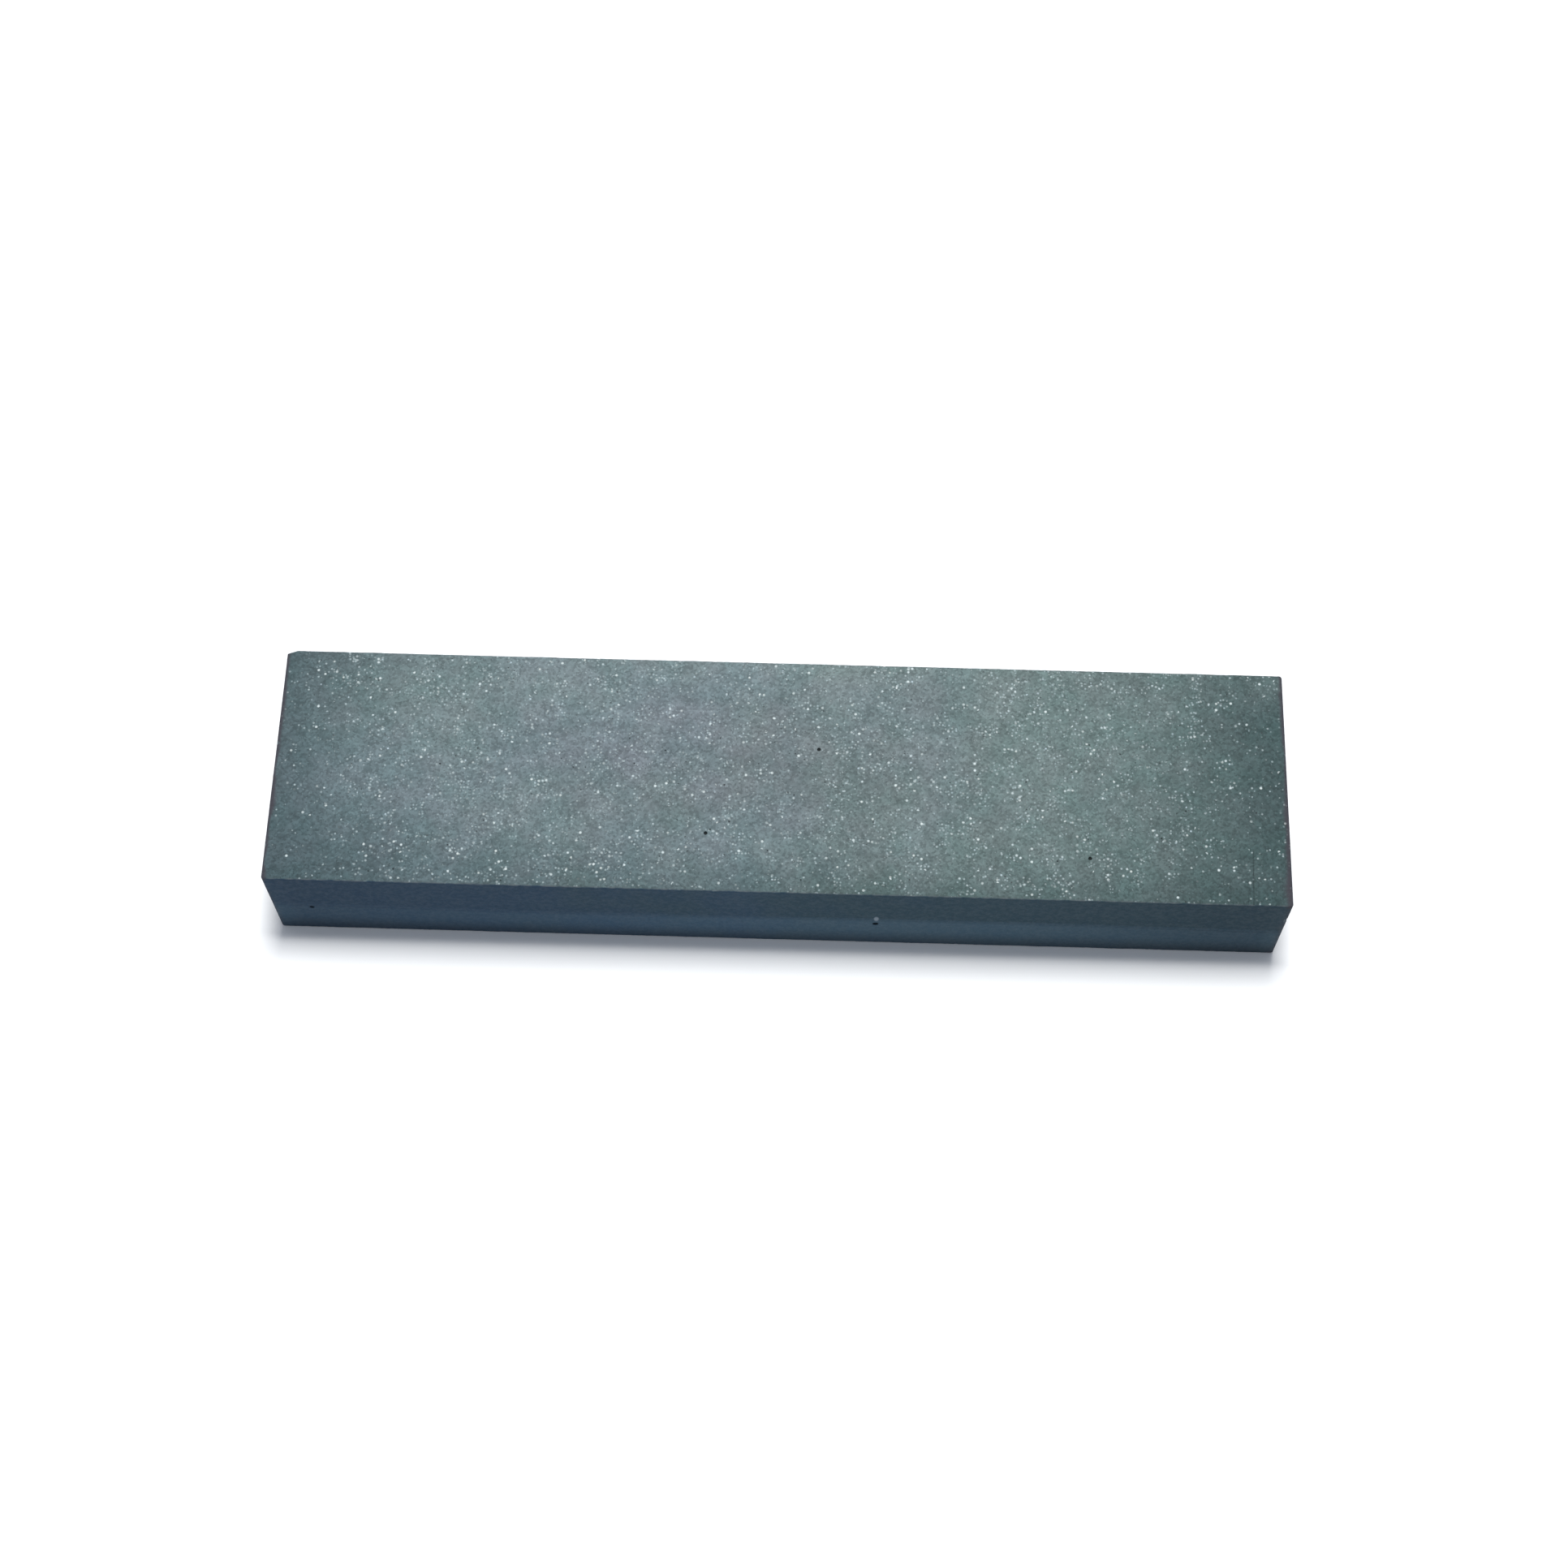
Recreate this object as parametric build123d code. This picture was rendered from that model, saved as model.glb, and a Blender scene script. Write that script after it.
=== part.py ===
from build123d import *
from math import pi, sin
import os

# Combination sharpening stone: one rectangular block of bonded abrasive, pressed in two grits and
# fired together. The coarse grit is the upper layer and the fine grit is the lower one.
#
# X runs along the length, Y across the width from front to back, and Z up. The origin is the centre
# of the underside, so the stone rests on Z = 0 with its coarse face up. Lengths are in millimetres.

# The whole block
LENGTH = 200.0
WIDTH = 50.0
HEIGHT = 25.0

# The surface where the two grits meet: nearly level, with one long shallow wave along the length
# and a slight rise from front to back
SEAM_HEIGHT = 12.0
SEAM_WAVE = 0.5
SEAM_WAVE_LENGTH = 160.0
SEAM_RISE = 0.4
SEAM_GRID = 10.0
SEAM_OVERHANG = 10.0

# Edges: the four upright corners are eased by the mould, the arrises by handling
CORNER_RADIUS = 0.6
ARRIS_RADIUS = 0.3

# The knocked-off corner at the back left of the coarse face
CHIP_ALONG = 2.6
CHIP_ACROSS = 1.0
CHIP_DOWN = 1.6

# Open pores that are large enough to see: half-balls sunk into a face, each with its two places
# on that face and its width
COARSE_FACE_PORES = [(7.6, 5.9, 0.7), (-14.1, -12.8, 0.7), (60.9, -16.0, 0.7)]
FRONT_PORES = [(-92.2, 10.9, 1.0), (19.7, 10.0, 1.2)]


def seam_height(x, y):
    """Height of the surface between the two grits above the point (x, y)."""
    wave = SEAM_WAVE * sin(2 * pi * x / SEAM_WAVE_LENGTH)
    return SEAM_HEIGHT + wave + SEAM_RISE * y / WIDTH


def steps_across(span):
    """Evenly spaced places over a span centred on 0, running past both of its ends."""
    reach = span / 2 + SEAM_OVERHANG
    count = round(2 * reach / SEAM_GRID)
    return [-reach + 2 * reach * step / count for step in range(count + 1)]


def seam_sheet():
    """The surface between the two grits, larger than the block on every side."""
    points = []
    for x in steps_across(LENGTH):
        points.append([Vector(x, y, seam_height(x, y)) for y in steps_across(WIDTH)])
    return Face.make_surface_from_array_of_points(points)


def eased_block():
    """The pressed block with rounded upright corners and arrises."""
    block = Pos(0, 0, HEIGHT / 2) * Box(LENGTH, WIDTH, HEIGHT)
    block = fillet(block.edges().filter_by(Axis.Z), CORNER_RADIUS)
    faces = block.faces().sort_by(Axis.Z)
    return fillet(faces[0].edges() + faces[-1].edges(), ARRIS_RADIUS)


def corner_chip():
    """The sliver missing from the back left corner of the coarse face, as a solid to cut away."""
    corner = Vector(-LENGTH / 2, WIDTH / 2, HEIGHT)
    along = corner + Vector(CHIP_ALONG, 0, 0)
    across = corner - Vector(0, CHIP_ACROSS, 0)
    down = corner - Vector(0, 0, CHIP_DOWN)
    sides = [
        Face(Wire.make_polygon([corner, along, across])),
        Face(Wire.make_polygon([corner, across, down])),
        Face(Wire.make_polygon([corner, down, along])),
        Face(Wire.make_polygon([along, down, across])),
    ]
    return Solid(Shell(sides))


def pores():
    """Every large pore of the stone, as a ball centred on the face that it opens in."""
    balls = [Pos(x, y, HEIGHT) * Sphere(width / 2) for x, y, width in COARSE_FACE_PORES]
    balls += [Pos(x, -WIDTH / 2, z) * Sphere(width / 2) for x, z, width in FRONT_PORES]
    return balls


def fired_block():
    """The whole stone before it is told apart into its two grits."""
    block = eased_block() - corner_chip()
    for hole in pores():
        block = block - hole
    return block.solid()


def grit_layers():
    """The coarse layer and the fine layer, which share the seam face exactly."""
    pieces = fired_block().split(seam_sheet(), keep=Keep.BOTH)
    solids = ShapeList([piece.solid() for piece in pieces]).sort_by(Axis.Z)
    fine, coarse = solids
    return {"coarse_grit_layer": coarse, "fine_grit_layer": fine}


def main():
    os.makedirs("parts", exist_ok=True)
    for name, layer in grit_layers().items():
        export_step(layer, f"parts/{name}.step")


main()
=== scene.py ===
import random
from math import radians, sqrt

import bmesh
import bpy
import numpy as np
from mathutils import Matrix, Vector, noise
from mathutils.bvhtree import BVHTree


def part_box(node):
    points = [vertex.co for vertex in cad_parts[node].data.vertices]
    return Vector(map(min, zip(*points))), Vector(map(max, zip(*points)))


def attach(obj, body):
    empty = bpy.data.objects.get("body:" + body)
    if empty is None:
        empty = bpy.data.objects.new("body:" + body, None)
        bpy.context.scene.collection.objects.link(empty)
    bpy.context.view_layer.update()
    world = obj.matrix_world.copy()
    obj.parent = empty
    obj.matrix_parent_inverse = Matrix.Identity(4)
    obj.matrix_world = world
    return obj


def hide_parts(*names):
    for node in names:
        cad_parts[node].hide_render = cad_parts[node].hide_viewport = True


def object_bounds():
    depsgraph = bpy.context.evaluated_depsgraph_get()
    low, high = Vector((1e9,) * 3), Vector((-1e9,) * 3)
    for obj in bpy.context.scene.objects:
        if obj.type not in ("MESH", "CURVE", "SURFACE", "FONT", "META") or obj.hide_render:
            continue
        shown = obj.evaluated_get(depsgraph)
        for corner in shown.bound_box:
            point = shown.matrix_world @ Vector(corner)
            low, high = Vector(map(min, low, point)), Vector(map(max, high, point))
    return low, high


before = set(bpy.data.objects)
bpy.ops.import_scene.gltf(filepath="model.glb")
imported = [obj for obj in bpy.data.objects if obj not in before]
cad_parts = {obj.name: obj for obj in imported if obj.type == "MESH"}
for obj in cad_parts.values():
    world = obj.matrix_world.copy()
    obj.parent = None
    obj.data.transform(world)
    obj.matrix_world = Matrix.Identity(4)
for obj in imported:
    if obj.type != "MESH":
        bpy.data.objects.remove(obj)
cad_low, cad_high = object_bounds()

# A two-grit sharpening stone. Both layers are meshed here round the imported CAD layers: the same block
# and the same seam, with worn arrises, small chips, pores and scratches, and with procedural
# materials for the ground working faces and the darker moulded sides. The colours also hold painted
# light and shade: painted glints, painted arris highlights, painted shade at the ends, edges and
# hollows, and sides darkened partly by painted shade. Lengths are in metres, but
# those of the pores and scratches and of the patterns in the materials are in millimetres.

MM = 0.001

# The block, from the frame
HALF_LENGTH = (cad_high.x - cad_low.x) / 2
HALF_WIDTH = (cad_high.y - cad_low.y) / 2
HEIGHT = cad_high.z
COARSE = "coarse_grit_layer"
FINE = "fine_grit_layer"

# Each layer is first meshed up to a flat seam at this height, and then bent to the CAD seam
FLAT_SEAM = HEIGHT * 0.48

# Edges: the upright corners, and the arrises, which are worn by different amounts along their length
CORNER_RADIUS = 0.6 * MM
ARRIS_RADIUS = (0.22 * MM, 0.5 * MM)
ARRIS_WEAR_SPACING = 5 * MM
# How far rounding an edge cuts it back, for each millimetre of radius
ROUNDING_CUT = sqrt(2) - 1
# Faces that meet more sharply than this keep a hard edge in the shading
HARD_EDGE = radians(50)

# Mesh spacing: the plain grid, and how far from each detail it is halved again
GRID = 0.8 * MM
EDGE_REFINING = (1.3 * MM, 0.6 * MM, 0.0)
PORE_REFINING = (1.7 * MM, 1.2 * MM, 0.8 * MM)
SCRATCH_REFINING = (0.9 * MM, 0.5 * MM, 0.3 * MM)
# The smallest length that makes a difference, and one that only keeps a division from failing
SAME_PLACE = 0.001 * MM
NO_LENGTH = 1e-12

# The knocked-off corner at the back left of the coarse face
CHIP_ALONG = 2.6 * MM
CHIP_ACROSS = 1.0 * MM
CHIP_DOWN = 1.6 * MM

# Large open pores, each with its two places on its face and its width, in millimetres
COARSE_FACE_PORES = [(7.6, 5.9, 0.7), (-14.1, -12.8, 0.7), (60.9, -16.0, 0.7)]
FRONT_PORES = [(-92.2, 10.9, 1.0), (19.7, 10.0, 1.2)]
PORE_DEPTH_SHARE = 0.6

# Scratches across the coarse face, in millimetres: (start, end, width, depth)
SCRATCHES = [
    ((92.3, -25.0), (92.65, -13.6), 0.45, 0.08),
    ((91.3, -25.0), (91.3, -22.8), 0.3, 0.05),
]

# Small chips along the arrises: their spacing, their least and most width, how strongly the widths
# keep to the small side, their depth as a share of the width, and how far they tilt
NICK_SPACING = 3.2 * MM
LOWER_NICK_SPACING = 1.7 * MM
NICK_WIDTH = (0.25 * MM, 1.1 * MM)
NICK_SMALLNESS = 4
NICK_DEPTH_SHARE = (0.2, 0.32)
NICK_TILT = 0.35
NICK_SEED = 11
# The one nick in an upright corner, at the front right: its height up the stone, width and depth
UPRIGHT_NICK = (17.4 * MM, 2.2 * MM, 0.35 * MM)

# Relief of the surfaces, always inwards. Each noise has a SHIFT of its own, here and below, so that
# no two of them have their bumps in the same places.
SWELL = 0.03 * MM
SWELL_SIZE = 9 * MM
SWELL_SHIFT = 3.7
ROUGHNESS = 0.02 * MM
ARRIS_ROUGHNESS = 0.07 * MM
ROUGHNESS_SIZE = 0.7 * MM
ROUGHNESS_SHIFT = 9.1

# Painted shade where the light on the working face falls off: how strongly and how far in it reaches
# from its left end, its right end and its front edge. The front shade spreads further in near the left
# end.
LEFT_END_SHADE = (0.63, 19.5 * MM)
RIGHT_END_SHADE = (0.84, 26.5 * MM)
FRONT_EDGE_SHADE = (0.50, 6.4 * MM)
FRONT_SPREAD_X = -78 * MM
FRONT_SPREAD_WIDTH = 21 * MM
FRONT_SPREAD_GAIN = 0.9
SHADE_SHARPNESS = 1.6
SHADE_AND_PATCH_WOBBLE = 0.22
SHADE_AND_PATCH_WOBBLE_SIZE = 13 * MM
END_SHADE_SHIFT = 5.3
FRONT_SHADE_SHIFT = 8.9

# The back part of the working face is painted paler, as painted light from behind: by how much, and
# between which places across it
BACK_GAIN = 0.09
BACK_FROM = -5 * MM
BACK_TO = 8 * MM

# Patches of the working face: (centre, reach along X and Y, strength, noise shift)
# The back edge patch adds more painted light along the back edge
BACK_EDGE_PATCH = ((5 * MM, HALF_WIDTH), (62 * MM, 6 * MM), 0.15, 4.4)
LEFT_PATCH = ((-65 * MM, -3 * MM), (20 * MM, 15 * MM), 0.08, 2.9)
BACK_RIGHT_PATCH = ((HALF_LENGTH, HALF_WIDTH), (10 * MM, 6 * MM), 0.3, 6.1)
WORN_PATCH = ((-6 * MM, 4 * MM), (41 * MM, 16 * MM), 1.0, 1.7)
OLIVE_PATCH = ((-74 * MM, 17 * MM), (20 * MM, 11 * MM), 1.0, 7.3)

# Painted shade along the end arrises, thinner along the upright corners and wider at the front right
EDGE_SHADE_WIDTH = 1.1 * MM
EDGE_SHADE_WOBBLE = 0.7
EDGE_SHADE_WOBBLE_SIZE = 4 * MM
EDGE_SHADE_SHIFT = 2.2
UPRIGHT_EDGE_SHADE = 0.4
FRONT_RIGHT_EDGE_SHADE = ((HALF_LENGTH, -HALF_WIDTH), (8 * MM, 9 * MM), 0.7, 3.4)

# How far from the upright corners the sides are made paler
UPRIGHT_PALENESS_REACH = 5 * MM


# ---------------------------------------------------------------- shape

def seam_height(node):
    """A function that gives the height of the seam at (x, y), read from the CAD layer above it."""
    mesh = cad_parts[node].data
    corners = [vertex.co for vertex in mesh.vertices]
    tree = BVHTree.FromPolygons(corners, [face.vertices for face in mesh.polygons])
    low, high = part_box(node)
    inside = CORNER_RADIUS / 2
    start = (low.z + high.z) / 2

    def height(x, y):
        x = max(low.x + inside, min(high.x - inside, x))
        y = max(low.y + inside, min(high.y - inside, y))
        return tree.ray_cast(Vector((x, y, start)), Vector((0, 0, -1)))[0].z

    return height


def lines(low, high):
    """Evenly spaced grid lines from low to high, about GRID apart."""
    return np.linspace(low, high, round((high - low) / GRID) + 1)


def box_shell(xs, ys, zs):
    """Vertices and outward quads of a closed box with grid lines at the given places."""
    counts = (len(xs), len(ys), len(zs))
    on_shell = np.ones(counts, dtype=bool)
    on_shell[1:-1, 1:-1, 1:-1] = False
    places = np.argwhere(on_shell)
    number = np.full(counts, -1)
    number[on_shell] = np.arange(len(places))
    points = np.stack([xs[places[:, 0]], ys[places[:, 1]], zs[places[:, 2]]], axis=1)
    quads = []
    for axis in range(3):
        for end in (0, -1):
            sheet = np.take(number, end, axis=axis)
            around = [sheet[:-1, :-1], sheet[1:, :-1], sheet[1:, 1:], sheet[:-1, 1:]]
            if (end == 0) != (axis == 1):
                around.reverse()
            quads.append(np.stack(around, axis=-1).reshape(-1, 4))
    return points, np.concatenate(quads)


def face_depth(points, working_height):
    """How far each point lies below the working face."""
    return np.abs(working_height - points[..., 2])


def insets(points):
    """How far each point lies inside the ends, and inside the long sides."""
    return HALF_LENGTH - np.abs(points[..., 0]), HALF_WIDTH - np.abs(points[..., 1])


def pore_places():
    """Every large pore: its place on the sharp block, the way it opens and its width."""
    up = Vector((0, 0, 1))
    forward = Vector((0, -1, 0))
    found = []
    for x, y, width in COARSE_FACE_PORES:
        found.append((Vector((x * MM, y * MM, HEIGHT)), up, width * MM))
    for x, z, width in FRONT_PORES:
        found.append((Vector((x * MM, -HALF_WIDTH, z * MM)), forward, width * MM))
    return found


def scratch_distance(points, scratch):
    """Distance of each point from one scratch on the coarse face."""
    start, end, _, _ = scratch
    start = np.array([*start, HEIGHT / MM]) * MM
    end = np.array([*end, HEIGHT / MM]) * MM
    course = end - start
    share = np.clip((points - start) @ course / (course @ course), 0, 1)
    nearest = start + share[..., None] * course
    return np.linalg.norm(points - nearest, axis=-1)


def wants_detail(points, working_height, step):
    """Which points of the sharp block are close enough to a detail for refining step number step."""
    from_end, from_side = insets(points)
    from_arris = np.maximum(np.minimum(from_end, from_side), face_depth(points, working_height))
    from_upright = np.maximum(from_end, from_side)
    wanted = np.minimum(from_arris, from_upright) < EDGE_REFINING[step]
    for scratch in SCRATCHES:
        wanted |= scratch_distance(points, scratch) < SCRATCH_REFINING[step]
    for place, _, _ in pore_places():
        wanted |= np.linalg.norm(points - np.array(place), axis=1) < PORE_REFINING[step]
    return wanted


def refine(mesh, working_height):
    """Halves the grid near the edges, pores and scratches, closer to them each time."""
    bm = bmesh.new()
    bm.from_mesh(mesh)
    for step in range(len(EDGE_REFINING)):
        edges = list(bm.edges)
        middles = np.array([(edge.verts[0].co + edge.verts[1].co) / 2 for edge in edges])
        wanted = wants_detail(middles, working_height, step)
        chosen = [edge for edge, near in zip(edges, wanted) if near]
        bmesh.ops.subdivide_edges(bm, edges=chosen, cuts=1, use_grid_fill=True)
    many_sided = [face for face in bm.faces if len(face.verts) > 4]
    bmesh.ops.triangulate(bm, faces=many_sided)
    bm.to_mesh(mesh)
    bm.free()


def noise_at(points, size, shift=0.0):
    """Smooth noise from about -1 to 1 at each point, with bumps of about the given size."""
    moved = Vector((shift, shift, shift))
    return np.array([noise.noise(Vector(point) / size + moved) for point in points])


def rounded(points, working_height):
    """Eases the upright corners and the arrises of the sharp block.

    Returns the moved points and the outward direction of the surface at each. The hidden seam face
    stays flat, and its direction is zero."""
    away = np.sign(working_height - HEIGHT / 2)
    core = np.array([HALF_LENGTH, HALF_WIDTH]) - CORNER_RADIUS
    past = np.clip(np.abs(points[:, :2]) - core, 0, None)
    reach = past.max(axis=1)
    length = np.maximum(np.hypot(past[:, 0], past[:, 1]), NO_LENGTH)
    outward = past / length[:, None] * np.sign(points[:, :2])
    level = np.clip(np.abs(points[:, :2]), None, core) * np.sign(points[:, :2])
    level += outward * reach[:, None]

    least, most = ARRIS_RADIUS
    wear = 0.5 + 0.5 * noise_at(points, ARRIS_WEAR_SPACING)
    radius = least + (most - least) * np.clip(wear, 0, 1)
    side = np.clip(radius - (CORNER_RADIUS - reach), 0, None)
    depth = face_depth(points, working_height)
    on_seam_face = (depth > most) & (reach < CORNER_RADIUS - SAME_PLACE)
    side[on_seam_face] = 0
    face = np.clip(radius - depth, 0, None)
    slant = np.maximum(np.hypot(side, face), NO_LENGTH)
    side_turned = radius * side / slant
    face_turned = radius * face / slant
    moved = np.empty_like(points)
    moved[:, :2] = level - outward * (side - side_turned)[:, None]
    moved[:, 2] = points[:, 2] - away * (face - face_turned)
    direction = np.empty_like(points)
    direction[:, :2] = outward * (side_turned / radius)[:, None]
    direction[:, 2] = away * face_turned / radius
    return moved, direction


def bent_to_seam(points, working_height, height):
    """Bends the flat seam to the CAD seam, and keeps the working face where it is."""
    share = (points[:, 2] - working_height) / (FLAT_SEAM - working_height)
    seam = np.array([height(x, y) for x, y in points[:, :2]])
    bent = points.copy()
    bent[:, 2] += share * (seam - FLAT_SEAM)
    return bent


def scooped(points, centre, direction, width, depth):
    """Presses a shallow shell-shaped chip into the points, and returns how deep each one went."""
    radius = (width ** 2 / 4 + depth ** 2) / (2 * depth)
    middle = centre + direction * (radius - depth)
    offset = points - np.array(middle)
    distance = np.maximum(np.linalg.norm(offset, axis=1), NO_LENGTH)
    inside = distance < radius
    points[inside] += offset[inside] * (radius / distance[inside] - 1)[:, None]
    return np.where(inside, radius - distance, 0)


def cut_corner(points):
    """Knocks off the back left corner of the coarse face, and returns how deep each point went."""
    corner = Vector((-HALF_LENGTH, HALF_WIDTH, HEIGHT))
    normal = Vector((-1 / CHIP_ALONG, 1 / CHIP_ACROSS, 1 / CHIP_DOWN)).normalized()
    edge = corner + Vector((CHIP_ALONG, 0, 0))
    past = (points - np.array(edge)) @ np.array(normal)
    past = np.clip(past, 0, None)
    points -= past[:, None] * np.array(normal)
    return past


def arris_places():
    """The eight arrises as (start, end, outward direction)."""
    places = []
    for z, up in ((0, -1), (HEIGHT, 1)):
        for side in (-1, 1):
            right = Vector((HALF_LENGTH, side * HALF_WIDTH, z))
            left = Vector((-HALF_LENGTH, side * HALF_WIDTH, z))
            places.append((right, left, Vector((0, side, up))))
            back = Vector((side * HALF_LENGTH, HALF_WIDTH, z))
            front = Vector((side * HALF_LENGTH, -HALF_WIDTH, z))
            places.append((back, front, Vector((side, 0, up))))
    return places


def arris_nicks():
    """Small chips scattered along the arrises: (centre, outward direction, width, depth)."""
    chance = random.Random(NICK_SEED)
    least, most = NICK_WIDTH
    cut = ARRIS_RADIUS[0] * ROUNDING_CUT
    made = []
    for start, end, outward in arris_places():
        length = (end - start).length
        spacing = NICK_SPACING if outward.z > 0 else LOWER_NICK_SPACING
        for _ in range(round(length / spacing)):
            centre = start.lerp(end, chance.random())
            width = least + (most - least) * chance.random() ** NICK_SMALLNESS
            tilt = Vector([chance.uniform(-NICK_TILT, NICK_TILT) for _ in range(3)])
            direction = (outward.normalized() + tilt).normalized()
            depth = width * chance.uniform(*NICK_DEPTH_SHARE)
            made.append((centre - direction * cut, direction, width, depth))
    return made


def upright_nick():
    """The nick in the front right upright corner: its centre, outward direction, width and depth."""
    height, width, depth = UPRIGHT_NICK
    corner = Vector((HALF_LENGTH, -HALF_WIDTH, height))
    outward = Vector((1, -1, 0)).normalized()
    return corner - outward * CORNER_RADIUS * ROUNDING_CUT, outward, width, depth


def pitted(points, flat):
    """Sinks the large pores, and returns how deep each point went."""
    sunk = np.zeros(len(points))
    for place, opening, width in pore_places():
        away = np.linalg.norm(flat - np.array(place), axis=1) / (width / 2)
        depth = PORE_DEPTH_SHARE * width * np.sqrt(np.clip(1 - away ** 2, 0, 1))
        points -= depth[:, None] * np.array(opening)
        sunk += depth
    return sunk


def scratched(points, flat):
    """Draws the scratches into the coarse face, and returns how deep each point went."""
    sunk = np.zeros(len(points))
    for scratch in SCRATCHES:
        _, _, width, depth = scratch
        near = np.clip(1 - 2 * scratch_distance(flat, scratch) / (width * MM), 0, 1)
        points[:, 2] -= depth * MM * near
        sunk += depth * MM * near
    return sunk


def arris_share(direction):
    """How near the surface at each point is to the slanting middle of an arris, from 0 to 1."""
    return 2 * np.abs(direction[:, 2]) * np.hypot(direction[:, 0], direction[:, 1])


def relief(points, direction):
    """Leaves the surface slightly uneven, and grainier along the arrises."""
    swell = 0.5 + 0.5 * noise_at(points, SWELL_SIZE, SWELL_SHIFT)
    grain = 0.5 + 0.5 * noise_at(points, ROUGHNESS_SIZE, ROUGHNESS_SHIFT)
    amount = SWELL * swell + (ROUGHNESS + ARRIS_ROUGHNESS * arris_share(direction)) * grain
    points -= direction * amount[:, None]


def unshaded_share(distance, painted_falloff):
    """How much light a painted shade leaves at each distance from the edge it starts at, from 0 to 1.
    """
    strength, reach = painted_falloff
    return 1 - strength * np.exp(-(np.clip(distance, 0, None) / reach) ** SHADE_SHARPNESS)


def end_tone(points):
    """How far each point is out of the painted shade at the two ends, from 0 to 1."""
    wobble = 1 + SHADE_AND_PATCH_WOBBLE * noise_at(points, SHADE_AND_PATCH_WOBBLE_SIZE, END_SHADE_SHIFT)
    left = unshaded_share((HALF_LENGTH + points[:, 0]) * wobble, LEFT_END_SHADE)
    right = unshaded_share((HALF_LENGTH - points[:, 0]) * wobble, RIGHT_END_SHADE)
    return left * right


def patch(points, place):
    """A soft-edged patch of the working face: its strength at each point."""
    centre, reach, strength, shift = place
    wobble = 1 + SHADE_AND_PATCH_WOBBLE * noise_at(points, SHADE_AND_PATCH_WOBBLE_SIZE, shift)
    along = (points[:, 0] - centre[0]) / reach[0]
    across = (points[:, 1] - centre[1]) / reach[1]
    return strength * np.exp(-(along ** 2 + across ** 2) * wobble)


def face_tone(points):
    """How pale the working face is painted at each point, as painted light and shade: 0 in full painted
    shade and 1 where it is palest.
    """
    wobble = 1 + SHADE_AND_PATCH_WOBBLE * noise_at(points, SHADE_AND_PATCH_WOBBLE_SIZE, FRONT_SHADE_SHIFT)
    from_spread = (points[:, 0] - FRONT_SPREAD_X) / FRONT_SPREAD_WIDTH
    spread = 1 + FRONT_SPREAD_GAIN * np.exp(-from_spread ** 2)
    front = unshaded_share((HALF_WIDTH + points[:, 1]) * wobble / spread, FRONT_EDGE_SHADE)
    backward = np.clip((points[:, 1] - BACK_FROM) / (BACK_TO - BACK_FROM), 0, 1)
    gain = 1 + BACK_GAIN * backward
    gain = gain + patch(points, BACK_EDGE_PATCH) + patch(points, LEFT_PATCH)
    most_gain = 1 + BACK_GAIN + BACK_EDGE_PATCH[2]
    tone = end_tone(points) * front * gain / most_gain
    return tone + patch(points, BACK_RIGHT_PATCH)


def painted_edge_shade(flat, working_height):
    """How strong the painted shade is along the end arrises and the upright corners, from 0 to 1."""
    from_end, from_side = insets(flat)
    wobble = EDGE_SHADE_WOBBLE * noise_at(flat, EDGE_SHADE_WOBBLE_SIZE, EDGE_SHADE_SHIFT)
    width = EDGE_SHADE_WIDTH * (1 + (wobble + patch(flat, FRONT_RIGHT_EDGE_SHADE)))
    beside_end = np.maximum(from_end, face_depth(flat, working_height))
    beside_upright = np.maximum(from_end, from_side)
    end_shade = np.clip(1 - beside_end / width, 0, 1)
    upright_shade = UPRIGHT_EDGE_SHADE * np.clip(1 - beside_upright / width, 0, 1)
    return np.maximum(end_shade, upright_shade)


def upright_nearness(flat):
    """How near each point of a side is to an upright corner, beside which the sides are made a little
    paler.
    """
    from_end, from_side = insets(flat)
    return np.clip(1 - np.maximum(from_end, from_side) / UPRIGHT_PALENESS_REACH, 0, 1)


def arris_highlight(direction):
    """How near each point is to the middle of a long arris, where a highlight is painted on its
    rounding.
    """
    return arris_share(direction) * np.abs(direction[:, 1])


def store(mesh, name, values):
    """Keeps one number for each vertex, for the materials to read."""
    layer = mesh.attributes.new(name, "FLOAT", "POINT")
    layer.data.foreach_set("value", values.astype(np.float32))


def layer_mesh(name, low, high, working_height, height):
    """The finished mesh of one grit layer between two heights of the sharp block."""
    xs = lines(-HALF_LENGTH, HALF_LENGTH)
    ys = lines(-HALF_WIDTH, HALF_WIDTH)
    corners, quads = box_shell(xs, ys, lines(low, high))
    mesh = bpy.data.meshes.new(name)
    mesh.from_pydata(corners.tolist(), [], quads.tolist())
    refine(mesh, working_height)

    flat = np.empty(len(mesh.vertices) * 3)
    mesh.vertices.foreach_get("co", flat)
    flat = flat.reshape(-1, 3)
    eased, direction = rounded(flat, working_height)
    points = bent_to_seam(eased, working_height, height)
    relief(points, direction)
    broken = cut_corner(points)
    for centre, outward, width, depth in arris_nicks() + [upright_nick()]:
        broken += scooped(points, centre, outward, width, depth)
    sunk = pitted(points, flat) + scratched(points, flat)

    mesh.vertices.foreach_set("co", points.ravel())
    mesh.update()
    mesh.shade_smooth()
    mesh.set_sharp_from_angle(angle=HARD_EDGE)
    store(mesh, "ground", np.abs(direction[:, 2]))
    store(mesh, "broken", broken / MM)
    store(mesh, "sunk", sunk / MM)
    store(mesh, "from_seam", np.abs(eased[:, 2] - FLAT_SEAM) / MM)
    store(mesh, "end_tone", end_tone(flat))
    store(mesh, "face_tone", face_tone(flat))
    store(mesh, "worn", patch(flat, WORN_PATCH))
    store(mesh, "olive", patch(flat, OLIVE_PATCH))
    store(mesh, "painted_edge_shade", painted_edge_shade(flat, working_height))
    store(mesh, "arris_highlight", arris_highlight(direction))
    store(mesh, "upright_nearness", upright_nearness(flat))
    return mesh


# ---------------------------------------------------------------- materials

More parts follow.
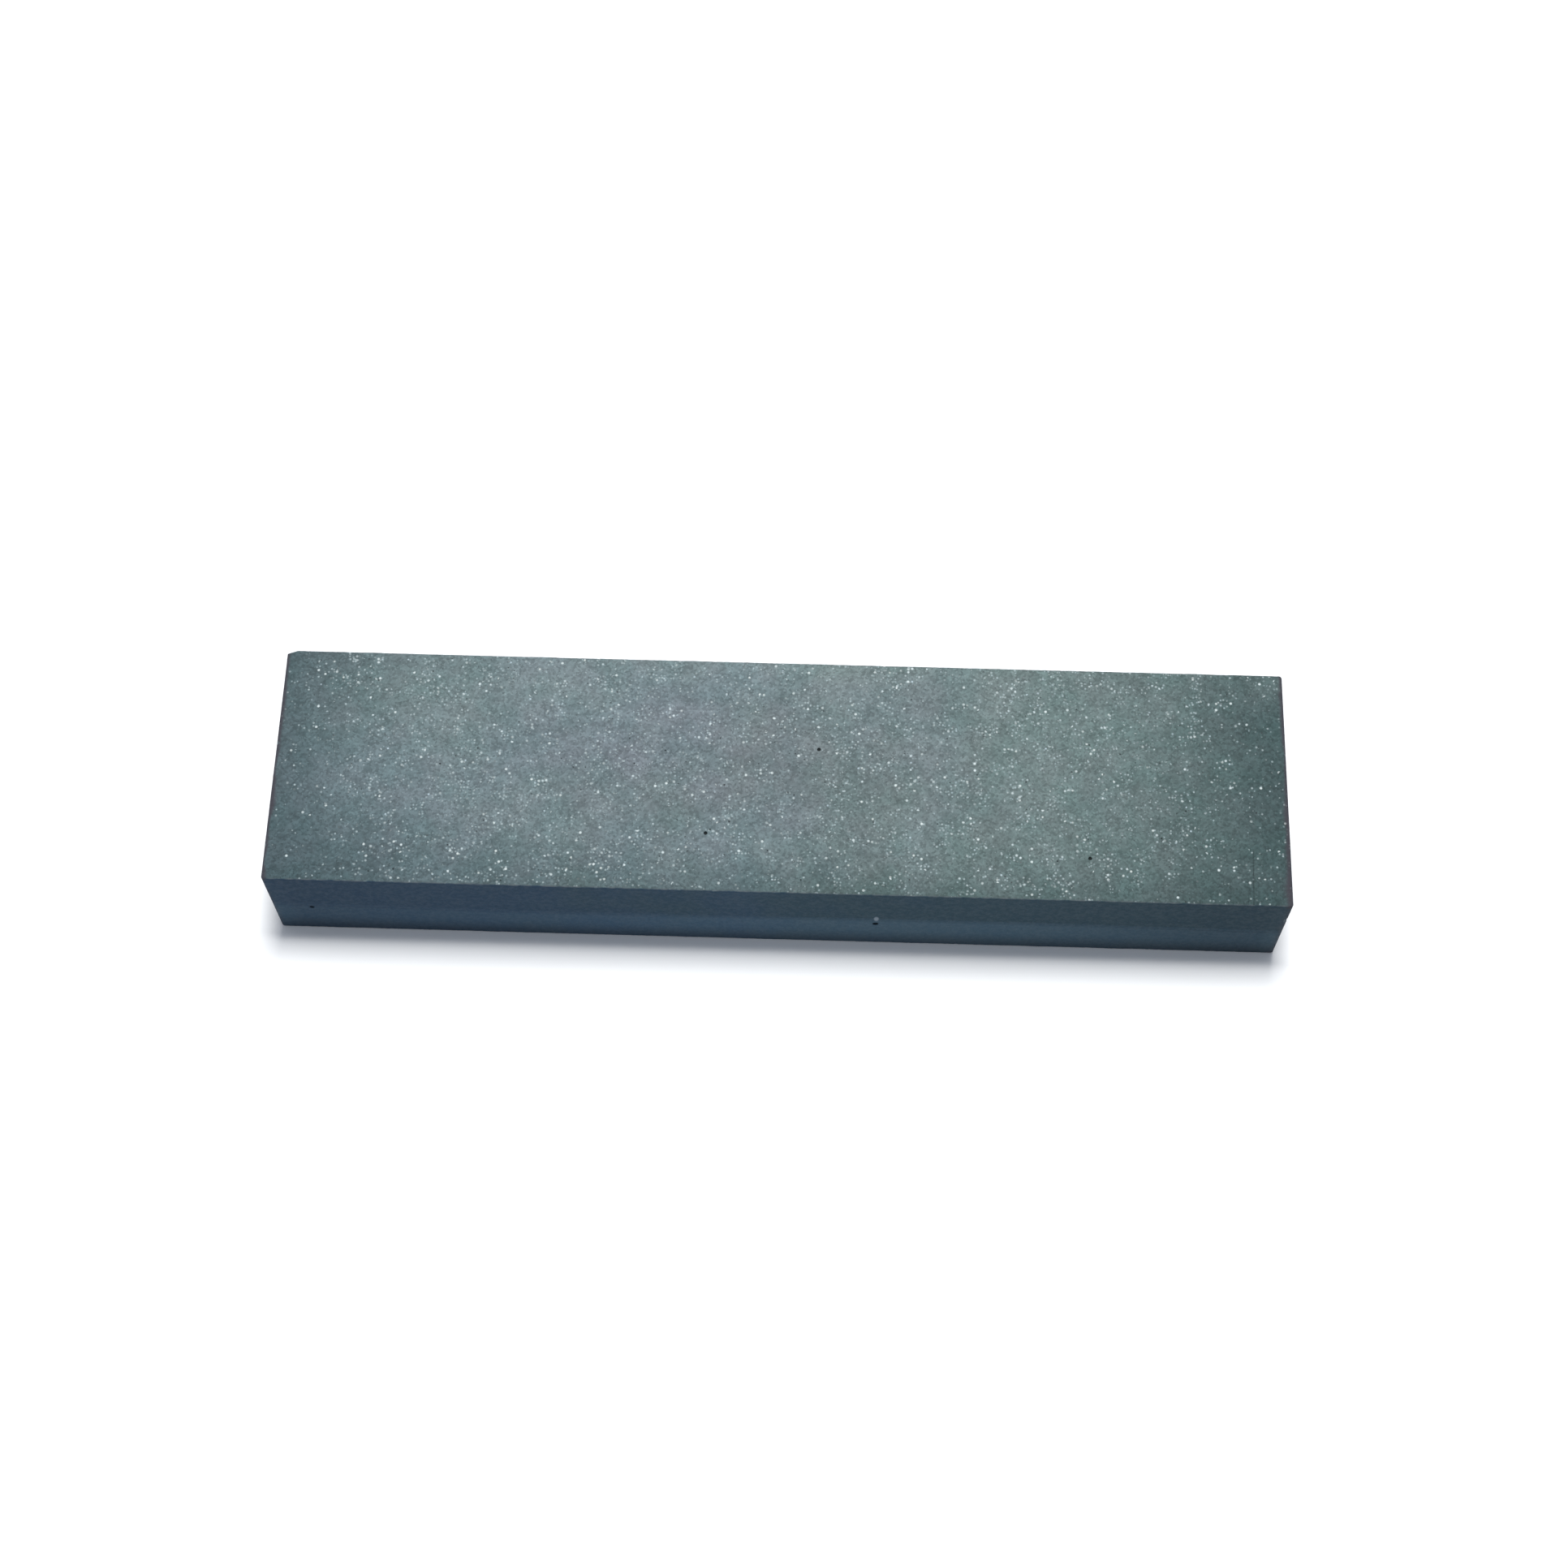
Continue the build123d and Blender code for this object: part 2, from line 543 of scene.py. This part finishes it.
# Clouds of soft noise: the size of their patches in millimetres, how much fine detail they hold, and
# the noise that counts as none and as full
CLOUD_ROUGHNESS = 0.55
SPECK_CLUSTERS = {"size": 3.4, "detail": 3.0, "low": 0.38, "high": 0.64}
DRIFT_CLOUD = {"size": 24.0}
PATCH_CLOUD = {"size": 8.0, "detail": 3.0}
SKIN_CLOUD = {"size": 6.0, "detail": 3.0}
# Patches of the painted highlight on the long arrises and of the painted shade along the end arrises
ARRIS_HIGHLIGHT_CLOUD = {"size": 2.5, "detail": 3.0}
EDGE_SHADE_CLOUD = {"size": 3.0, "detail": 3.0, "low": 0.0, "high": 0.45}
SHEEN_CLOUD = {"size": 1.2, "detail": 3.0}

# Clouds that only lighten and darken: (cloud, darkest, palest)
FACE_SHADING = [({"size": 15.0}, 0.95, 1.05), ({"size": 2.6, "detail": 5.0}, 0.90, 1.10)]
SKIN_SHADING = ({"size": 0.5, "detail": 3.0}, 0.90, 1.10)
GRAIN_SHADING = (0.94, 1.06)

# Ranges for remap(): (from low, from high, to low, to high)
# The specks are painted glints: thinner in the painted shade, more towards the right, fewer at the left
# end
SPECKS_IN_SHADE = (0.15, 0.6, 0.3, 1.0)
SPECKS_RIGHTWARD = (-15.0, 60.0, 0.97, 1.12)
SPECKS_AT_LEFT_END = (-98.0, -84.0, 0.35, 1.0)
DRIFT_RANGE = (-45.0, 90.0, 0.0, 1.0)
SEAM_FADE = (0.0, 1.3, 0.0, 1.0)
# Painted light in the middle of the sides, and painted shade towards their foot
SKIN_MIDDLE = (20.0, 85.0, 1.0, 0.0)
SKIN_FOOT = (4.5, 11.0, 0.0, 1.0)
PALE_GRAIN_EDGE = (0.25, 0.65, 1.0, 0.0)
GROUND_EDGE = (0.55, 0.95, 0.0, 1.0)
# Painted shade along the end arrises and the upright corners
EDGE_SHADE_COVER = (0.0, 0.7, 0.0, 0.85)
BROKEN_DEPTH = (0.0, 0.08, 0.0, 1.0)
# Painted shade in the pores and scratches, by how deep they are
SUNK_DEPTH = (0.0, 0.15, 0.0, 1.0)
BUMP_SHARE = (0.0, 1.0, 0.25, 1.0)
SHADER_ROUGHNESS = (0.0, 1.0, 0.68, 0.86)

# How far the drift of colour wanders, where the painted light on the skin is brightest, and the share
# of a speck's radius that is solid
DRIFT_WANDERING = 70.0
SKIN_MIDDLE_X = 12.0
SPECK_CORE = 0.4

# How strongly each mark covers the colour below it. Pits, pores and scratches get painted shade, long
# arrises a painted highlight.
PIT_COVER = 0.85
ARRIS_HIGHLIGHT_COVER = 0.85
BROKEN_COVER = 0.5
SUNK_COVER = 0.9

BUMP_STRENGTH = 0.6
SHADER_SPECULAR = 0.12

# A single pale grain on the front, above a pore: its place, and how much distance from it counts
# along X, Y and Z, which makes it taller than it is wide
PALE_GRAIN = (19.8, -25.0, 12.7)
PALE_GRAIN_SHAPE = (1.0, 1.0, 0.45)


def add_node(tree, kind, inputs=None, **settings):
    """Adds one shader node, with its settings, and links or sets its inputs."""
    node = tree.nodes.new(kind)
    for name, value in settings.items():
        setattr(node, name, value)
    for name, value in (inputs or {}).items():
        if isinstance(value, bpy.types.NodeSocket):
            tree.links.new(value, node.inputs[name])
        else:
            node.inputs[name].default_value = value
    return node


def maths(tree, operation, first, second=0.0):
    """One sum on two numbers."""
    return add_node(tree, "ShaderNodeMath", {0: first, 1: second}, operation=operation).outputs[0]


def remap(tree, value, low, high, to_low=0.0, to_high=1.0, curve="SMOOTHSTEP"):
    """Carries a number from one range to another, and keeps it inside the second."""
    inputs = {"Value": value, "From Min": low, "From Max": high, "To Min": to_low, "To Max": to_high}
    return add_node(tree, "ShaderNodeMapRange", inputs, interpolation_type=curve).outputs[0]


def vector_maths(tree, operation, inputs):
    """One sum on vectors, with all that it gives."""
    return add_node(tree, "ShaderNodeVectorMath", inputs, operation=operation).outputs


def blend(tree, factor, first, second, how="MIX"):
    """Mixes two colours."""
    inputs = {0: factor, 6: first, 7: second}
    return add_node(tree, "ShaderNodeMix", inputs, data_type="RGBA", blend_type=how).outputs[2]


def tinted(tree, colour, value, low, high):
    """Multiplies a colour by one that runs from low to high with a number from 0 to 1."""
    return blend(tree, 1.0, colour, blend(tree, value, low, high), "MULTIPLY")


def shaded(tree, colour, value, darkest, palest):
    """Makes a colour darker or lighter with a number from 0 to 1."""
    return tinted(tree, colour, value, grey(darkest), grey(palest))


def millimetres(tree):
    """The place on the stone in millimetres."""
    place = add_node(tree, "ShaderNodeTexCoord").outputs["Object"]
    return vector_maths(tree, "SCALE", {0: place, "Scale": 1 / MM})[0]


def cloud(tree, place, size, detail=2.0, low=0.3, high=0.7):
    """Soft noise from 0 to 1 with patches of about the given size in millimetres."""
    inputs = {"Vector": place, "Scale": 1 / size, "Detail": detail, "Roughness": CLOUD_ROUGHNESS}
    made = add_node(tree, "ShaderNodeTexNoise", inputs)
    return remap(tree, made.outputs[0], low, high)


def grains(tree, place, size):
    """Packed grains: the distance from each grain's centre and three random numbers for it."""
    made = add_node(tree, "ShaderNodeTexVoronoi", {"Vector": place, "Scale": 1 / size})
    chance = add_node(tree, "ShaderNodeSeparateColor", {"Color": made.outputs["Color"]})
    return made.outputs["Distance"], chance.outputs


def specks(tree, place, speck, crowding):
    """Scattered grains: a mask of their shapes, and two random numbers for each."""
    distance, chance = grains(tree, place, speck["spacing"])
    limit = maths(tree, "SUBTRACT", 1.0, maths(tree, "MULTIPLY", crowding, speck["share"]))
    chosen = maths(tree, "GREATER_THAN", chance[0], limit)
    radius = speck["width"] / speck["spacing"] / 2
    round_shape = remap(tree, distance, radius * SPECK_CORE, radius, 1.0, 0.0)
    return maths(tree, "MULTIPLY", chosen, round_shape), chance[1], chance[2]


def attribute(tree, name):
    """A number that the mesh keeps at each vertex."""
    return add_node(tree, "ShaderNodeAttribute", attribute_name=name).outputs["Fac"]


def coordinate(tree, place, axis):
    """One coordinate of the place on the stone, in millimetres."""
    return add_node(tree, "ShaderNodeSeparateXYZ", {"Vector": place}).outputs[axis]


def speck_crowding(tree, place):
    """How thickly the specks, painted glints, lie: in loose clusters, thinner in the painted shade and
    towards the left.
    """
    along = coordinate(tree, place, "X")
    clusters = cloud(tree, place, **SPECK_CLUSTERS)
    lit_share = remap(tree, attribute(tree, "face_tone"), *SPECKS_IN_SHADE)
    rightward = remap(tree, along, *SPECKS_RIGHTWARD)
    off_left_end = remap(tree, along, *SPECKS_AT_LEFT_END)
    crowding = maths(tree, "MULTIPLY", clusters, maths(tree, "MULTIPLY", lit_share, rightward))
    return maths(tree, "MULTIPLY", crowding, off_left_end)


def drift(tree, place):
    """A number that goes from 0 at the left end of the stone to 1 at its right end, unevenly."""
    along = coordinate(tree, place, "X")
    wandering = maths(tree, "MULTIPLY", cloud(tree, place, **DRIFT_CLOUD), DRIFT_WANDERING)
    return remap(tree, maths(tree, "ADD", along, wandering), *DRIFT_RANGE)


def marked(tree, colour, mask, cover, mark):
    """Lays a mark's colour over another where its mask is, as strongly as it covers."""
    return blend(tree, maths(tree, "MULTIPLY", mask, cover), colour, mark)


def face_colour(tree, place, look, crowding):
    """The ground working face: pale and speckled, and deeper in tone where shade is painted on it."""
    across = drift(tree, place)
    pale = blend(tree, across, look["pale_left"], look["pale_right"])
    deep = blend(tree, across, look["deep_left"], look["deep_right"])
    tone = blend(tree, attribute(tree, "face_tone"), deep, pale)
    tone = tinted(tree, tone, attribute(tree, "worn"), grey(1.0), look["worn_tint"])
    tone = tinted(tree, tone, attribute(tree, "olive"), grey(1.0), look["olive_tint"])
    tone = tinted(tree, tone, cloud(tree, place, **PATCH_CLOUD), *look["patch_tints"])
    for shape, darkest, palest in FACE_SHADING:
        tone = shaded(tree, tone, cloud(tree, place, **shape), darkest, palest)
    _, chance = grains(tree, place, look["grain"])
    tone = shaded(tree, tone, chance[0], *look["grain_shades"])
    tone = shaded(tree, tone, cloud(tree, place, look["grain"] / 2), *GRAIN_SHADING)
    # The pits: painted shade in tiny pits
    pits, _, _ = specks(tree, place, look["pits"], crowding)
    tone = marked(tree, tone, pits, PIT_COVER, look["pore"])
    # The specks: pale crystal grains painted bright as glints
    for speck in look["specks"]:
        mask, level, hue = specks(tree, place, speck, crowding)
        strength = remap(tree, level, 0.0, 1.0, *speck["strength"], curve="LINEAR")
        colour = blend(tree, hue, speck["cool"], speck["warm"])
        tone = marked(tree, tone, mask, strength, colour)
    return tone


def pale_grain(tree, place):
    """A mask of the single pale grain on the front."""
    offset = vector_maths(tree, "SUBTRACT", {0: place, 1: PALE_GRAIN})[0]
    squeezed = vector_maths(tree, "MULTIPLY", {0: offset, 1: PALE_GRAIN_SHAPE})[0]
    distance = vector_maths(tree, "LENGTH", {0: squeezed})["Value"]
    return remap(tree, distance, *PALE_GRAIN_EDGE)


def skin_and_shade_colour(tree, place, look):
    """The sides' smooth moulded skin, fading into the other grit's at the seam: its own darker colour
    plus painted shade.
    """
    across = drift(tree, place)
    from_seam = attribute(tree, "from_seam")
    skin_and_shade = blend(tree, across, look["skin_and_shade_left"], look["skin_and_shade_right"])
    seam = blend(tree, across, SEAM_LEFT, SEAM_RIGHT)
    skin_and_shade = blend(tree, remap(tree, from_seam, *SEAM_FADE), seam, skin_and_shade)
    skin_and_shade = tinted(tree, skin_and_shade, cloud(tree, place, **SKIN_CLOUD), *look["skin_tints"])
    shape, darkest, palest = SKIN_SHADING
    skin_and_shade = shaded(tree, skin_and_shade, cloud(tree, place, **shape), darkest, palest)
    # Painted shade towards the ends
    skin_and_shade = shaded(tree, skin_and_shade, attribute(tree, "end_tone"), look["skin_end_shade"], 1.0)
    # Painted light in the middle
    from_middle = maths(tree, "SUBTRACT", coordinate(tree, place, "X"), SKIN_MIDDLE_X)
    middle = remap(tree, maths(tree, "ABSOLUTE", from_middle), *SKIN_MIDDLE)
    skin_and_shade = shaded(tree, skin_and_shade, middle, *look["skin_middle_shades"])
    skin_and_shade = tinted(tree, skin_and_shade, attribute(tree, "upright_nearness"), grey(1.0), look["skin_corner_tint"])
    # Painted shade near the foot, where the floor's contact shadow falls
    skin_and_shade = tinted(tree, skin_and_shade, remap(tree, from_seam, *SKIN_FOOT), grey(1.0), look["skin_foot_shade"])
    return blend(tree, pale_grain(tree, place), skin_and_shade, look["grain_colour"])


def chips_and_painted_shading(tree, place, look, colour):
    """Lays painted arris highlights, painted shade at the end arrises, corners, pores and scratches,
    and pale chips over a colour.
    """
    # A painted highlight along the long arrises
    arris_highlight_cloud = cloud(tree, place, **ARRIS_HIGHLIGHT_CLOUD)
    arris_highlight_patches = maths(tree, "MULTIPLY", attribute(tree, "arris_highlight"), arris_highlight_cloud)
    colour = marked(tree, colour, arris_highlight_patches, ARRIS_HIGHLIGHT_COVER, look["arris_highlight"])
    # Painted shade along the end arrises and the upright corners
    edge_shade_cloud = cloud(tree, place, **EDGE_SHADE_CLOUD)
    edge_shade_patches = maths(tree, "MULTIPLY", attribute(tree, "painted_edge_shade"), edge_shade_cloud)
    colour = blend(tree, remap(tree, edge_shade_patches, *EDGE_SHADE_COVER), colour, look["painted_edge_shade"])
    broken = remap(tree, attribute(tree, "broken"), *BROKEN_DEPTH)
    colour = marked(tree, colour, broken, BROKEN_COVER, look["pale_left"])
    # Painted shade in the pores and scratches
    sunk = remap(tree, attribute(tree, "sunk"), *SUNK_DEPTH)
    return marked(tree, colour, sunk, SUNK_COVER, look["pore"])


def grain_bump(tree, place, look, ground):
    """The fine unevenness that the grains give the surface, shallower on the moulded skin."""
    gap, _ = grains(tree, place, look["grain"])
    face_height = maths(tree, "MULTIPLY", gap, -1.0)
    height = maths(tree, "MULTIPLY", face_height, remap(tree, ground, *BUMP_SHARE))
    inputs = {"Strength": BUMP_STRENGTH, "Distance": look["bump"], "Height": height}
    return add_node(tree, "ShaderNodeBump", inputs).outputs[0]


def stone_material(name, look):
    """Bonded abrasive: a ground, speckled working face and a smooth dark moulded skin."""
    material = bpy.data.materials.new(name)
    material.use_nodes = True
    tree = material.node_tree
    tree.nodes.clear()
    place = millimetres(tree)
    ground = remap(tree, attribute(tree, "ground"), *GROUND_EDGE)
    face = face_colour(tree, place, look, speck_crowding(tree, place))
    colour = blend(tree, ground, skin_and_shade_colour(tree, place, look), face)
    shader = add_node(tree, "ShaderNodeBsdfPrincipled", {
        "Base Color": chips_and_painted_shading(tree, place, look, colour),
        "Roughness": remap(tree, cloud(tree, place, **SHEEN_CLOUD), *SHADER_ROUGHNESS),
        "Specular IOR Level": SHADER_SPECULAR,
        "Normal": grain_bump(tree, place, look, ground),
    })
    add_node(tree, "ShaderNodeOutputMaterial", {"Surface": shader.outputs[0]})
    return material


def colour_of(red, green, blue):
    """A colour with full alpha."""
    return (red, green, blue, 1.0)


def grey(level):
    """A neutral colour, for making another colour lighter or darker."""
    return colour_of(level, level, level)


# The skin where the two grits meet: its own darker colour, darkened further by painted shade
SEAM_LEFT = colour_of(0.033, 0.064, 0.104)
SEAM_RIGHT = colour_of(0.035, 0.067, 0.094)

# How each layer looks. "left" and "right" are the two ends of the stone, "pale" and "deep" the lit
# working face and the face under full painted shade, and a "tint" multiplies a colour. Specks and pits
# are
# scattered grains: the spacing and width of a grain, the share of the grains that show, and how weakly
# and how strongly they do. The specks are pale crystal grains painted bright as glints, and the pits
# are painted shade in tiny pits. "grain" is the width of the imported grains, and "bump" is their depth
# in metres.
COARSE_LOOK = {
    "pale_left": colour_of(0.1535, 0.196, 0.209),
    "pale_right": colour_of(0.1415, 0.188, 0.182),
    # "deep" is the working face under full painted shade
    "deep_left": colour_of(0.035, 0.062, 0.069),
    "deep_right": colour_of(0.035, 0.061, 0.063),
    "worn_tint": colour_of(1.00, 0.92, 0.955),
    "olive_tint": colour_of(0.95, 0.975, 0.92),
    "patch_tints": (colour_of(0.925, 0.98, 0.97), colour_of(1.075, 1.02, 1.03)),
    # The sides' own darker moulded skin, darkened further by painted shade
    "skin_and_shade_left": colour_of(0.026, 0.054, 0.090),
    "skin_and_shade_right": colour_of(0.026, 0.053, 0.072),
    "skin_tints": (colour_of(0.94, 0.97, 0.99), colour_of(1.06, 1.03, 1.01)),
    # Painted shade towards the ends and at the foot, painted light in the middle, and paler sides
    # beside the upright corners
    "skin_end_shade": 0.85,
    "skin_middle_shades": (0.97, 1.07),
    "skin_corner_tint": colour_of(1.12, 1.10, 1.08),
    "skin_foot_shade": grey(1.0),
    # Painted shade along the end arrises and upright corners, and a painted highlight on the long
    # arrises
    "painted_edge_shade": colour_of(0.052, 0.046, 0.056),
    "arris_highlight": colour_of(0.165, 0.186, 0.190),
    "grain_colour": colour_of(0.19, 0.23, 0.27),
    # Painted shade for the pits, pores and scratches
    "pore": colour_of(0.004, 0.005, 0.006),
    "grain": 0.42,
    "grain_shades": (0.76, 1.24),
    "pits": {"spacing": 0.6, "width": 0.5, "share": 0.19},
    # The specks are pale crystal grains painted bright as glints
    "specks": [
        {"spacing": 0.6, "width": 0.59, "share": 0.84, "strength": (0.0, 0.73),
         "cool": colour_of(0.35, 0.46, 0.50), "warm": colour_of(0.41, 0.46, 0.45)},
        {"spacing": 0.74, "width": 0.73, "share": 0.18, "strength": (0.2, 0.82),
         "cool": colour_of(0.58, 0.70, 0.76), "warm": colour_of(0.66, 0.71, 0.68)},
    ],
    "bump": 0.05 * MM,
}

FINE_LOOK = {
    "pale_left": colour_of(0.105, 0.136, 0.150),
    "pale_right": colour_of(0.102, 0.136, 0.140),
    # "deep" is the working face under full painted shade
    "deep_left": colour_of(0.040, 0.062, 0.074),
    "deep_right": colour_of(0.040, 0.062, 0.068),
    "worn_tint": colour_of(1.02, 0.98, 1.00),
    "olive_tint": colour_of(0.98, 0.99, 0.96),
    "patch_tints": (colour_of(0.97, 1.01, 1.00), colour_of(1.03, 1.00, 1.00)),
    # The sides' own darker moulded skin, darkened further by painted shade
    "skin_and_shade_left": colour_of(0.041, 0.078, 0.121),
    "skin_and_shade_right": colour_of(0.046, 0.084, 0.116),
    "skin_tints": (colour_of(0.94, 0.97, 0.99), colour_of(1.06, 1.03, 1.01)),
    # Painted shade towards the ends and at the foot, painted light in the middle, and paler sides
    # beside the upright corners
    "skin_end_shade": 0.75,
    "skin_middle_shades": (0.92, 1.09),
    "skin_corner_tint": colour_of(1.24, 1.26, 1.20),
    "skin_foot_shade": colour_of(0.82, 0.72, 0.69),
    # Painted shade along the end arrises and upright corners, and a painted highlight on the long
    # arrises
    "painted_edge_shade": colour_of(0.052, 0.046, 0.056),
    "arris_highlight": colour_of(0.165, 0.186, 0.190),
    "grain_colour": colour_of(0.19, 0.23, 0.27),
    # Painted shade for the pits, pores and scratches
    "pore": colour_of(0.014, 0.022, 0.030),
    "grain": 0.2,
    "grain_shades": (0.9, 1.1),
    "pits": {"spacing": 0.5, "width": 0.3, "share": 0.05},
    # The specks are pale crystal grains painted bright as glints
    "specks": [
        {"spacing": 0.5, "width": 0.25, "share": 0.08, "strength": (0.2, 0.8),
         "cool": colour_of(0.34, 0.40, 0.42), "warm": colour_of(0.38, 0.40, 0.36)},
    ],
    "bump": 0.02 * MM,
}


# ---------------------------------------------------------------- scene

CAMERA_PLACE = Vector((0.0088, -0.2246, 0.5097))
CAMERA_AIM = Vector((0.0007, 0.0039, 0.0125))
CAMERA_ROLL = radians(-0.32)
CAMERA_LENS = 62.2
CAMERA_SENSOR = 36.0

# Soft lights above and behind the stone, turned to its foot: (name, place, size, watts)
LIGHTS = [
    ("key", (0.029, 0.237, 1.2), (0.29, 0.341), 11.8),
    ("key_core", (0.029, 0.098, 1.2), (0.29, 0.08), 3.1),
]
LIGHT_COLOUR = (1.0, 1.0, 0.99)
FILL_COLOUR = colour_of(0.33, 0.36, 0.41)
BACKGROUND_COLOUR = colour_of(1.0, 1.0, 1.0)

FLOOR_REACH = 0.5
FLOOR_COLOUR = colour_of(0.95, 0.95, 0.95)
FLOOR_ROUGHNESS = 0.9


def add_layer(node, slot, low, high, working_height, look, height):
    """Makes one grit layer, and puts it in the place of its CAD node."""
    piece = bpy.data.objects.new(node + "_stone", layer_mesh(node, low, high, working_height, height))
    bpy.context.collection.objects.link(piece)
    piece.data.materials.append(stone_material(slot, look))
    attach(piece, "root")
    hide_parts(node)
    return piece


def add_camera():
    """The camera, at the photograph's viewing angle."""
    data = bpy.data.cameras.new("camera")
    data.lens = CAMERA_LENS
    data.sensor_width = CAMERA_SENSOR
    camera = bpy.data.objects.new("camera", data)
    turn = (CAMERA_AIM - CAMERA_PLACE).to_track_quat("-Z", "Y").to_matrix().to_4x4()
    camera.matrix_world = Matrix.Translation(CAMERA_PLACE) @ turn @ Matrix.Rotation(CAMERA_ROLL, 4, "Z")
    bpy.context.collection.objects.link(camera)
    bpy.context.scene.camera = camera


def add_light(name, place, size, power):
    """A soft rectangular light, turned to the centre of the stone's underside."""
    data = bpy.data.lights.new(name, "AREA")
    data.shape = "RECTANGLE"
    data.size, data.size_y = size
    data.energy = power
    data.color = LIGHT_COLOUR
    light = bpy.data.objects.new(name, data)
    light.location = place
    light.rotation_euler = (-Vector(place)).to_track_quat("-Z", "Y").to_euler()
    bpy.context.collection.objects.link(light)


def add_world():
    """Cool, even light from all round, and a white background behind the floor."""
    world = bpy.data.worlds.new("studio")
    world.use_nodes = True
    tree = world.node_tree
    tree.nodes.clear()
    fill = add_node(tree, "ShaderNodeBackground", {"Color": FILL_COLOUR})
    white = add_node(tree, "ShaderNodeBackground", {"Color": BACKGROUND_COLOUR})
    seen = add_node(tree, "ShaderNodeLightPath").outputs["Is Camera Ray"]
    both = add_node(tree, "ShaderNodeMixShader", {0: seen, 1: fill.outputs[0], 2: white.outputs[0]})
    add_node(tree, "ShaderNodeOutputWorld", {"Surface": both.outputs[0]})
    bpy.context.scene.world = world


def floor_material():
    """Plain matte white."""
    material = bpy.data.materials.new("floor")
    material.use_nodes = True
    shader = material.node_tree.nodes["Principled BSDF"]
    shader.inputs["Base Color"].default_value = FLOOR_COLOUR
    shader.inputs["Roughness"].default_value = FLOOR_ROUGHNESS
    shader.inputs["Specular IOR Level"].default_value = 0.0
    return material


def add_floor():
    """A plain white floor."""
    left, right = -FLOOR_REACH, FLOOR_REACH
    corners = [(left, left, 0), (right, left, 0), (right, right, 0), (left, right, 0)]
    mesh = bpy.data.meshes.new("floor")
    mesh.from_pydata(corners, [], [(0, 1, 2, 3)])
    mesh.materials.append(floor_material())
    floor = bpy.data.objects.new("floor", mesh)
    bpy.context.collection.objects.link(floor)


def main():
    seam = seam_height(COARSE)
    add_layer(COARSE, "coarse_grit", FLAT_SEAM, HEIGHT, HEIGHT, COARSE_LOOK, seam)
    add_layer(FINE, "fine_grit", 0.0, FLAT_SEAM, 0.0, FINE_LOOK, seam)
    add_floor()
    add_world()
    for name, place, size, power in LIGHTS:
        add_light(name, place, size, power)
    add_camera()
    bpy.context.scene.view_settings.view_transform = "Standard"


main()
